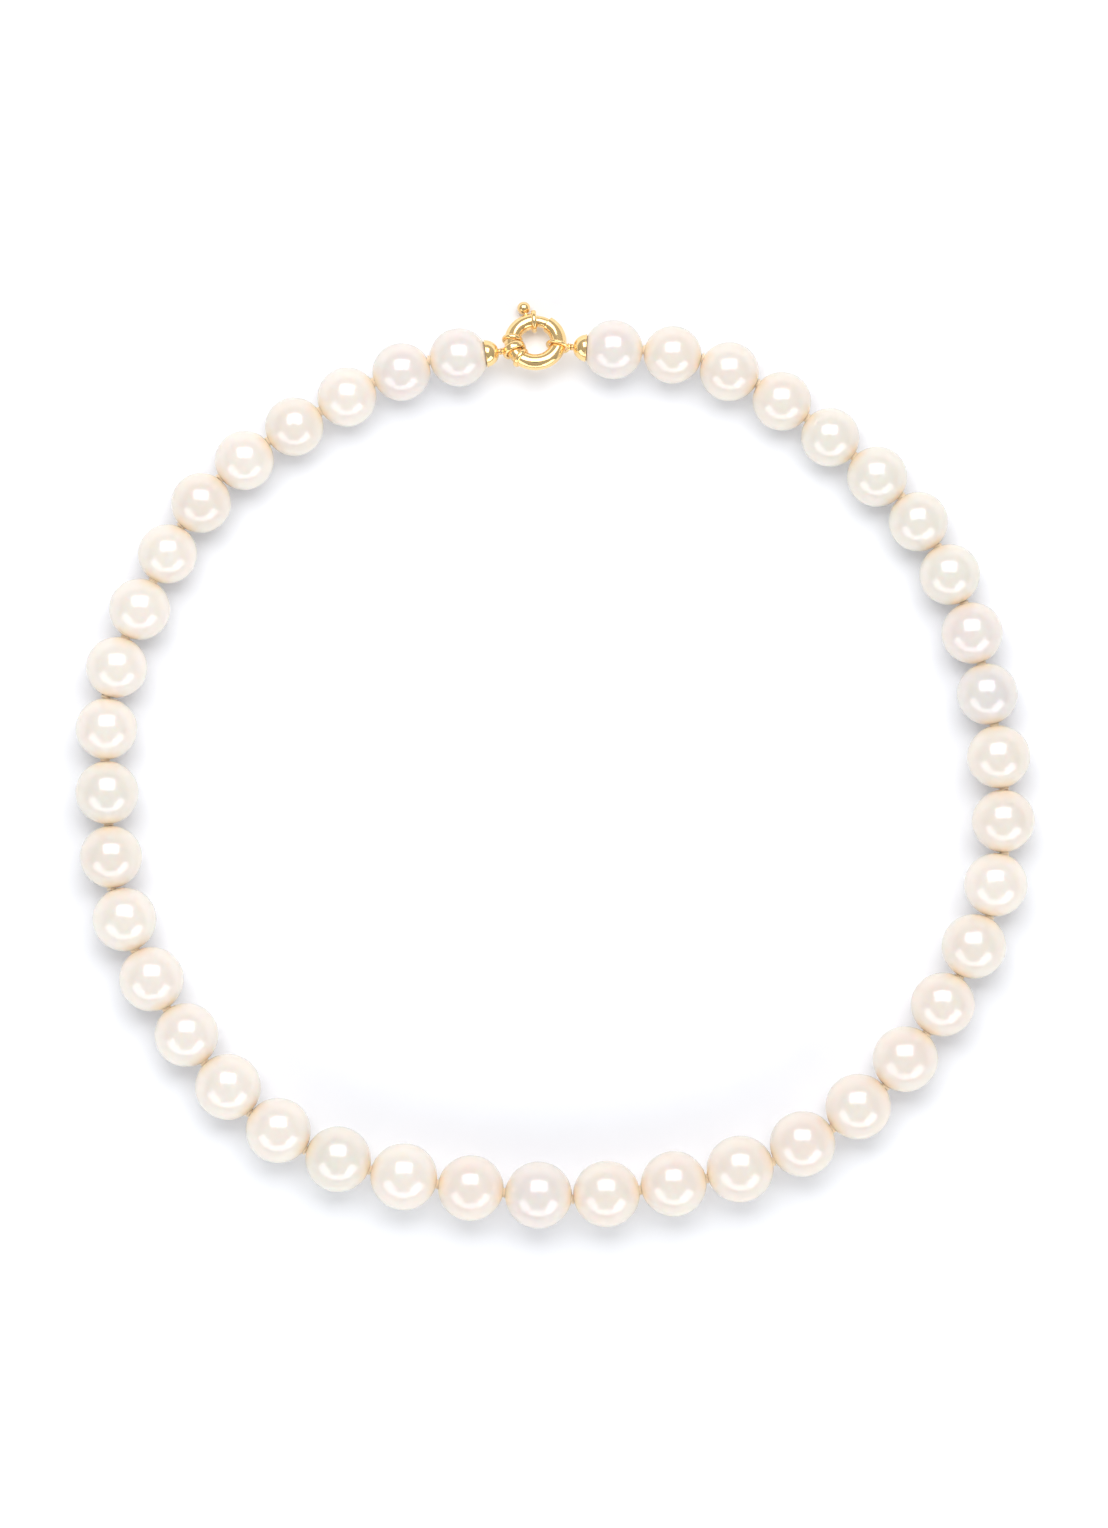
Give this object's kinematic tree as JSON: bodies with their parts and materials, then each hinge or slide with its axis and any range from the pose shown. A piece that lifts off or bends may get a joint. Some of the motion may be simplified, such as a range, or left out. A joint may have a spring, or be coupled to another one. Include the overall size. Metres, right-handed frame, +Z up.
{
  "type": "pearl necklace",
  "caption": "Graduated strand of round pearls, knotted on silk between every pearl and closed with gold end cups, links and a round bolt ring clasp.",
  "frame": {"origin": "on the plane that the necklace lies on, under the middle of its outline", "axes": "+Z up from that plane, +Y from the front pearls towards the clasp, +X to the right seen from above with the clasp at the top"},
  "size_m": [0.1558, 0.1506, 0.0109],
  "materials": {
    "nacre": "high-lustre white nacre with a faint pink overtone",
    "gold": "polished pale yellow gold",
    "silk": "twisted cream silk",
    "spring_steel": "plain spring wire"
  },
  "bodies": {
    "bead_01": {"pearl_01": "nacre"},
    "bead_02": {"pearl_02": "nacre"},
    "bead_03": {"pearl_03": "nacre"},
    "bead_04": {"pearl_04": "nacre"},
    "bead_05": {"pearl_05": "nacre"},
    "bead_06": {"pearl_06": "nacre"},
    "bead_07": {"pearl_07": "nacre"},
    "bead_08": {"pearl_08": "nacre"},
    "bead_09": {"pearl_09": "nacre"},
    "bead_10": {"pearl_10": "nacre"},
    "bead_11": {"pearl_11": "nacre"},
    "bead_12": {"pearl_12": "nacre"},
    "bead_13": {"pearl_13": "nacre"},
    "bead_14": {"pearl_14": "nacre"},
    "bead_15": {"pearl_15": "nacre"},
    "bead_16": {"pearl_16": "nacre"},
    "bead_17": {"pearl_17": "nacre"},
    "bead_18": {"pearl_18": "nacre"},
    "bead_19": {"pearl_19": "nacre"},
    "bead_20": {"pearl_20": "nacre"},
    "bead_21": {"pearl_21": "nacre"},
    "bead_22": {"pearl_22": "nacre", "silk_thread": "silk", "silk_knots": "silk"},
    "bead_23": {"pearl_23": "nacre"},
    "bead_24": {"pearl_24": "nacre"},
    "bead_25": {"pearl_25": "nacre"},
    "bead_26": {"pearl_26": "nacre"},
    "bead_27": {"pearl_27": "nacre"},
    "bead_28": {"pearl_28": "nacre"},
    "bead_29": {"pearl_29": "nacre"},
    "bead_30": {"pearl_30": "nacre"},
    "bead_31": {"pearl_31": "nacre"},
    "bead_32": {"pearl_32": "nacre"},
    "bead_33": {"pearl_33": "nacre"},
    "bead_34": {"pearl_34": "nacre"},
    "bead_35": {"pearl_35": "nacre"},
    "bead_36": {"pearl_36": "nacre"},
    "bead_37": {"pearl_37": "nacre"},
    "bead_38": {"pearl_38": "nacre"},
    "bead_39": {"pearl_39": "nacre"},
    "bead_40": {"pearl_40": "nacre"},
    "bead_41": {"pearl_41": "nacre"},
    "bead_42": {"pearl_42": "nacre"},
    "right_end": {"right_cup": "gold", "right_gimp": "gold"},
    "left_end": {"left_cup": "gold", "left_gimp": "gold"},
    "left_link_body": {"left_link": "gold"},
    "ring_body": {"ring_tube": "gold", "gap_collar": "gold", "upper_link_collar": "gold", "lower_link_collar": "gold", "spring_stop": "gold", "bolt_spring": "spring_steel"},
    "bolt_body": {"bolt": "gold", "thumb_knob": "gold"},
    "right_link_body": {"right_link": "gold"}
  },
  "joints": [
    {"name": "bolt_slide", "type": "hinge", "parent": "ring_body", "child": "bolt_body", "pos_m": [-0.0032, 0.0686, 0.00375], "axis": [0, 0.4226, 0.9063], "range_deg": [0, 38], "stiffness_Nm_per_rad": 0.01, "springref_deg": -22.92, "deforming": ["bolt_spring"]},
    {"name": "clasp_turn", "type": "hinge", "parent": "left_end", "child": "left_link_body", "pos_m": [-0.00898, 0.06694, 0.00477], "axis": [0, 0, 1], "range_deg": [0, 15], "deforming": ["left_gimp"]},
    {"name": "clasp_lift", "type": "hinge", "parent": "left_link_body", "child": "ring_body", "pos_m": [-0.00665, 0.06727, 0.00437], "axis": [0.3907, -0.8343, 0.389], "range_deg": [0, 60]},
    {"name": "link_travel", "type": "hinge", "parent": "ring_body", "child": "right_link_body", "pos_m": [-0.0032, 0.0686, 0.00375], "axis": [0, 0.4226, 0.9063], "range_deg": [0, 84]},
    {"name": "left_cup_tilt", "type": "hinge", "parent": "bead_42", "child": "left_end", "pos_m": [-0.0156, 0.06601, 0.00477], "axis": [0, 0, 1], "range_deg": [0, 8]},
    {"name": "right_cup_tilt", "type": "hinge", "parent": "bead_01", "child": "right_end", "pos_m": [0.00948, 0.06726, 0.00479], "axis": [0, 0, -1], "range_deg": [0, 8]},
    {"name": "knot_01", "type": "hinge", "parent": "bead_02", "child": "bead_01", "pos_m": [0.01438, 0.06715, 0.00475], "axis": [0, 0, -1], "range_deg": [0, 15]},
    {"name": "knot_02", "type": "hinge", "parent": "bead_03", "child": "bead_02", "pos_m": [0.02382, 0.06572, 0.00476], "axis": [0, 0, -1], "range_deg": [0, 15]},
    {"name": "knot_03", "type": "hinge", "parent": "bead_04", "child": "bead_03", "pos_m": [0.03282, 0.06168, 0.0048], "axis": [0, 0, -1], "range_deg": [0, 15]},
    {"name": "knot_04", "type": "hinge", "parent": "bead_05", "child": "bead_04", "pos_m": [0.04086, 0.0561, 0.00479], "axis": [0, 0, -1], "range_deg": [0, 15]},
    {"name": "knot_05", "type": "hinge", "parent": "bead_06", "child": "bead_05", "pos_m": [0.04851, 0.04995, 0.00485], "axis": [0, 0, -1], "range_deg": [0, 15]},
    {"name": "knot_06", "type": "hinge", "parent": "bead_07", "child": "bead_06", "pos_m": [0.05609, 0.04334, 0.00488], "axis": [0, 0, -1], "range_deg": [0, 15]},
    {"name": "knot_07", "type": "hinge", "parent": "bead_08", "child": "bead_07", "pos_m": [0.06187, 0.03534, 0.0049], "axis": [0, 0, -1], "range_deg": [0, 15]},
    {"name": "knot_08", "type": "hinge", "parent": "bead_09", "child": "bead_08", "pos_m": [0.06625, 0.02618, 0.00499], "axis": [0, 0, -1], "range_deg": [0, 15]},
    {"name": "knot_09", "type": "hinge", "parent": "bead_10", "child": "bead_09", "pos_m": [0.06915, 0.01636, 0.005], "axis": [0, 0, -1], "range_deg": [0, 15]},
    {"name": "knot_10", "type": "hinge", "parent": "bead_11", "child": "bead_10", "pos_m": [0.07122, 0.00638, 0.00506], "axis": [0, 0, -1], "range_deg": [0, 15]},
    {"name": "knot_11", "type": "hinge", "parent": "bead_12", "child": "bead_11", "pos_m": [0.07281, -0.00402, 0.00513], "axis": [0, 0, -1], "range_deg": [0, 15]},
    {"name": "knot_12", "type": "hinge", "parent": "bead_13", "child": "bead_12", "pos_m": [0.07277, -0.01445, 0.00514], "axis": [0, 0, -1], "range_deg": [0, 15]},
    {"name": "knot_13", "type": "hinge", "parent": "bead_14", "child": "bead_13", "pos_m": [0.07033, -0.02472, 0.00523], "axis": [0, 0, -1], "range_deg": [0, 15]},
    {"name": "knot_14", "type": "hinge", "parent": "bead_15", "child": "bead_14", "pos_m": [0.06567, -0.03444, 0.00525], "axis": [0, 0, -1], "range_deg": [0, 15]},
    {"name": "knot_15", "type": "hinge", "parent": "bead_16", "child": "bead_15", "pos_m": [0.06027, -0.04364, 0.00529], "axis": [0, 0, -1], "range_deg": [0, 15]},
    {"name": "knot_16", "type": "hinge", "parent": "bead_17", "child": "bead_16", "pos_m": [0.05346, -0.05216, 0.00536], "axis": [0, 0, -1], "range_deg": [0, 15]},
    {"name": "knot_17", "type": "hinge", "parent": "bead_18", "child": "bead_17", "pos_m": [0.04497, -0.05904, 0.00535], "axis": [0, 0, -1], "range_deg": [0, 15]},
    {"name": "knot_18", "type": "hinge", "parent": "bead_19", "child": "bead_18", "pos_m": [0.03542, -0.06429, 0.0054], "axis": [0, 0, -1], "range_deg": [0, 15]},
    {"name": "knot_19", "type": "hinge", "parent": "bead_20", "child": "bead_19", "pos_m": [0.02467, -0.06718, 0.00542], "axis": [0, 0, -1], "range_deg": [0, 15]},
    {"name": "knot_20", "type": "hinge", "parent": "bead_21", "child": "bead_20", "pos_m": [0.01388, -0.06914, 0.0054], "axis": [0, 0, -1], "range_deg": [0, 15]},
    {"name": "knot_21", "type": "hinge", "parent": "bead_22", "child": "bead_21", "pos_m": [0.00287, -0.07044, 0.00545], "axis": [0, 0, -1], "range_deg": [0, 15]},
    {"name": "knot_22", "type": "hinge", "parent": "bead_22", "child": "bead_23", "pos_m": [-0.00824, -0.06951, 0.00541], "axis": [0, 0, 1], "range_deg": [0, 15], "deforming": ["silk_thread", "silk_knots"]},
    {"name": "knot_23", "type": "hinge", "parent": "bead_23", "child": "bead_24", "pos_m": [-0.0191, -0.06815, 0.00541], "axis": [0, 0, 1], "range_deg": [0, 15]},
    {"name": "knot_24", "type": "hinge", "parent": "bead_24", "child": "bead_25", "pos_m": [-0.02998, -0.06581, 0.00541], "axis": [0, 0, 1], "range_deg": [0, 15]},
    {"name": "knot_25", "type": "hinge", "parent": "bead_25", "child": "bead_26", "pos_m": [-0.0404, -0.06248, 0.00534], "axis": [0, 0, 1], "range_deg": [0, 15]},
    {"name": "knot_26", "type": "hinge", "parent": "bead_26", "child": "bead_27", "pos_m": [-0.04942, -0.05649, 0.00535], "axis": [0, 0, 1], "range_deg": [0, 15]},
    {"name": "knot_27", "type": "hinge", "parent": "bead_27", "child": "bead_28", "pos_m": [-0.05674, -0.04833, 0.0053], "axis": [0, 0, 1], "range_deg": [0, 15]},
    {"name": "knot_28", "type": "hinge", "parent": "bead_28", "child": "bead_29", "pos_m": [-0.06292, -0.03964, 0.00524], "axis": [0, 0, 1], "range_deg": [0, 15]},
    {"name": "knot_29", "type": "hinge", "parent": "bead_29", "child": "bead_30", "pos_m": [-0.06807, -0.0302, 0.00523], "axis": [0, 0, 1], "range_deg": [0, 15]},
    {"name": "knot_30", "type": "hinge", "parent": "bead_30", "child": "bead_31", "pos_m": [-0.07166, -0.02025, 0.00515], "axis": [0, 0, 1], "range_deg": [0, 15]},
    {"name": "knot_31", "type": "hinge", "parent": "bead_31", "child": "bead_32", "pos_m": [-0.07247, -0.00988, 0.00512], "axis": [0, 0, 1], "range_deg": [0, 15]},
    {"name": "knot_32", "type": "hinge", "parent": "bead_32", "child": "bead_33", "pos_m": [-0.07295, 0.00063, 0.00507], "axis": [0, 0, 1], "range_deg": [0, 15]},
    {"name": "knot_33", "type": "hinge", "parent": "bead_33", "child": "bead_34", "pos_m": [-0.07266, 0.01084, 0.00499], "axis": [0, 0, 1], "range_deg": [0, 15]},
    {"name": "knot_34", "type": "hinge", "parent": "bead_34", "child": "bead_35", "pos_m": [-0.06963, 0.02055, 0.00498], "axis": [0, 0, 1], "range_deg": [0, 15]},
    {"name": "knot_35", "type": "hinge", "parent": "bead_35", "child": "bead_36", "pos_m": [-0.06521, 0.02973, 0.00491], "axis": [0, 0, 1], "range_deg": [0, 15]},
    {"name": "knot_36", "type": "hinge", "parent": "bead_36", "child": "bead_37", "pos_m": [-0.06057, 0.03848, 0.00487], "axis": [0, 0, 1], "range_deg": [0, 15]},
    {"name": "knot_37", "type": "hinge", "parent": "bead_37", "child": "bead_38", "pos_m": [-0.05433, 0.04628, 0.00486], "axis": [0, 0, 1], "range_deg": [0, 15]},
    {"name": "knot_38", "type": "hinge", "parent": "bead_38", "child": "bead_39", "pos_m": [-0.04652, 0.05229, 0.00479], "axis": [0, 0, 1], "range_deg": [0, 15]},
    {"name": "knot_39", "type": "hinge", "parent": "bead_39", "child": "bead_40", "pos_m": [-0.03811, 0.05722, 0.0048], "axis": [0, 0, 1], "range_deg": [0, 15]},
    {"name": "knot_40", "type": "hinge", "parent": "bead_40", "child": "bead_41", "pos_m": [-0.02941, 0.06193, 0.00477], "axis": [0, 0, 1], "range_deg": [0, 15]},
    {"name": "knot_41", "type": "hinge", "parent": "bead_41", "child": "bead_42", "pos_m": [-0.02043, 0.06533, 0.00474], "axis": [0, 0, 1], "range_deg": [0, 15]}
  ]
}
